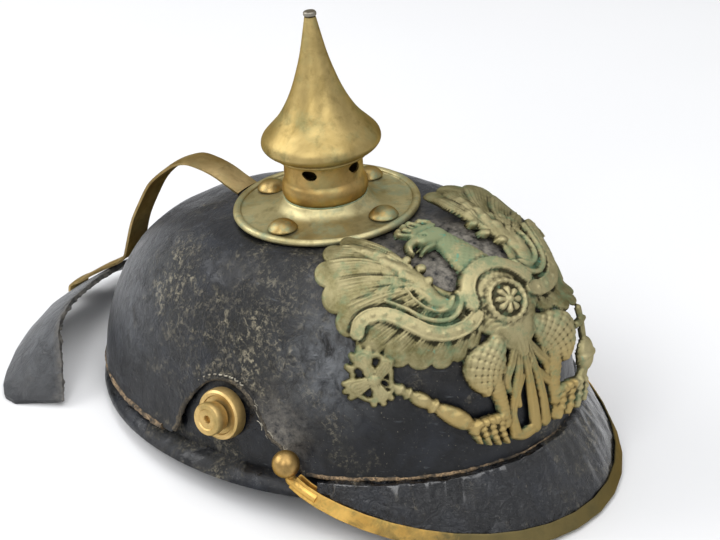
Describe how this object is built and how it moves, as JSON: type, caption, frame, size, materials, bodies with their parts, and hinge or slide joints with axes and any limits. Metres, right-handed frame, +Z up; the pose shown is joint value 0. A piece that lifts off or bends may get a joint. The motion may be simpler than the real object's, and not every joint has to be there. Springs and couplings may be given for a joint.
{
  "type": "spiked leather helmet",
  "caption": "Leather helmet with a brass spike on a round base plate, stamped eagle plate, brass-edged front visor, side lugs, rear spine and a loose neck guard.",
  "frame": {"origin": "middle of the underside of the bounding box: on the table, under the middle of the helmet as it rests", "axes": "+Z up from the table; -Y to the front of the helmet; -X to the wearer's right. The helmet rests leaning back 5.6 degrees on its visor, rear rim and neck guard, so the spike leans towards +Y."},
  "size_m": [0.1878, 0.3118, 0.1956],
  "materials": {
    "shell_leather": "black lacquered leather, crackled, dusty and scuffed to grey",
    "band_leather": "black leather with a worn tan rolled edge",
    "visor_leather": "black lacquered leather, wrinkled and crackled",
    "guard_leather": "black leather, dull, with a rough torn seam edge",
    "trim_brass": "bright worn brass, duller towards the front",
    "lug_brass": "bright gilt brass, lightly worn",
    "stud_brass": "turned brass, satin",
    "spike_brass": "spun brass, satin, with tarnish spots",
    "spine_brass": "rolled brass strip, satin, dark underneath",
    "plate_brass": "stamped brass with olive patina and verdigris"
  },
  "bodies": {
    "root": {"crown_shell": "shell_leather", "lower_band": "band_leather", "front_visor": "visor_leather", "visor_trim": "trim_brass", "right_trim_stud": "stud_brass", "left_trim_stud": "stud_brass", "right_lug_flange": "lug_brass", "right_lug_post": "lug_brass", "left_lug_flange": "lug_brass", "left_lug_post": "lug_brass", "base_plate": "spike_brass", "base_stud_front": "stud_brass", "base_stud_right": "stud_brass", "base_stud_rear": "stud_brass", "base_stud_left": "stud_brass", "spike_neck": "spike_brass", "spike": "spike_brass", "spike_tip": "spike_brass", "rear_spine": "spine_brass", "neck_guard": "guard_leather", "eagle_plate": "plate_brass"}
  },
  "joints": []
}
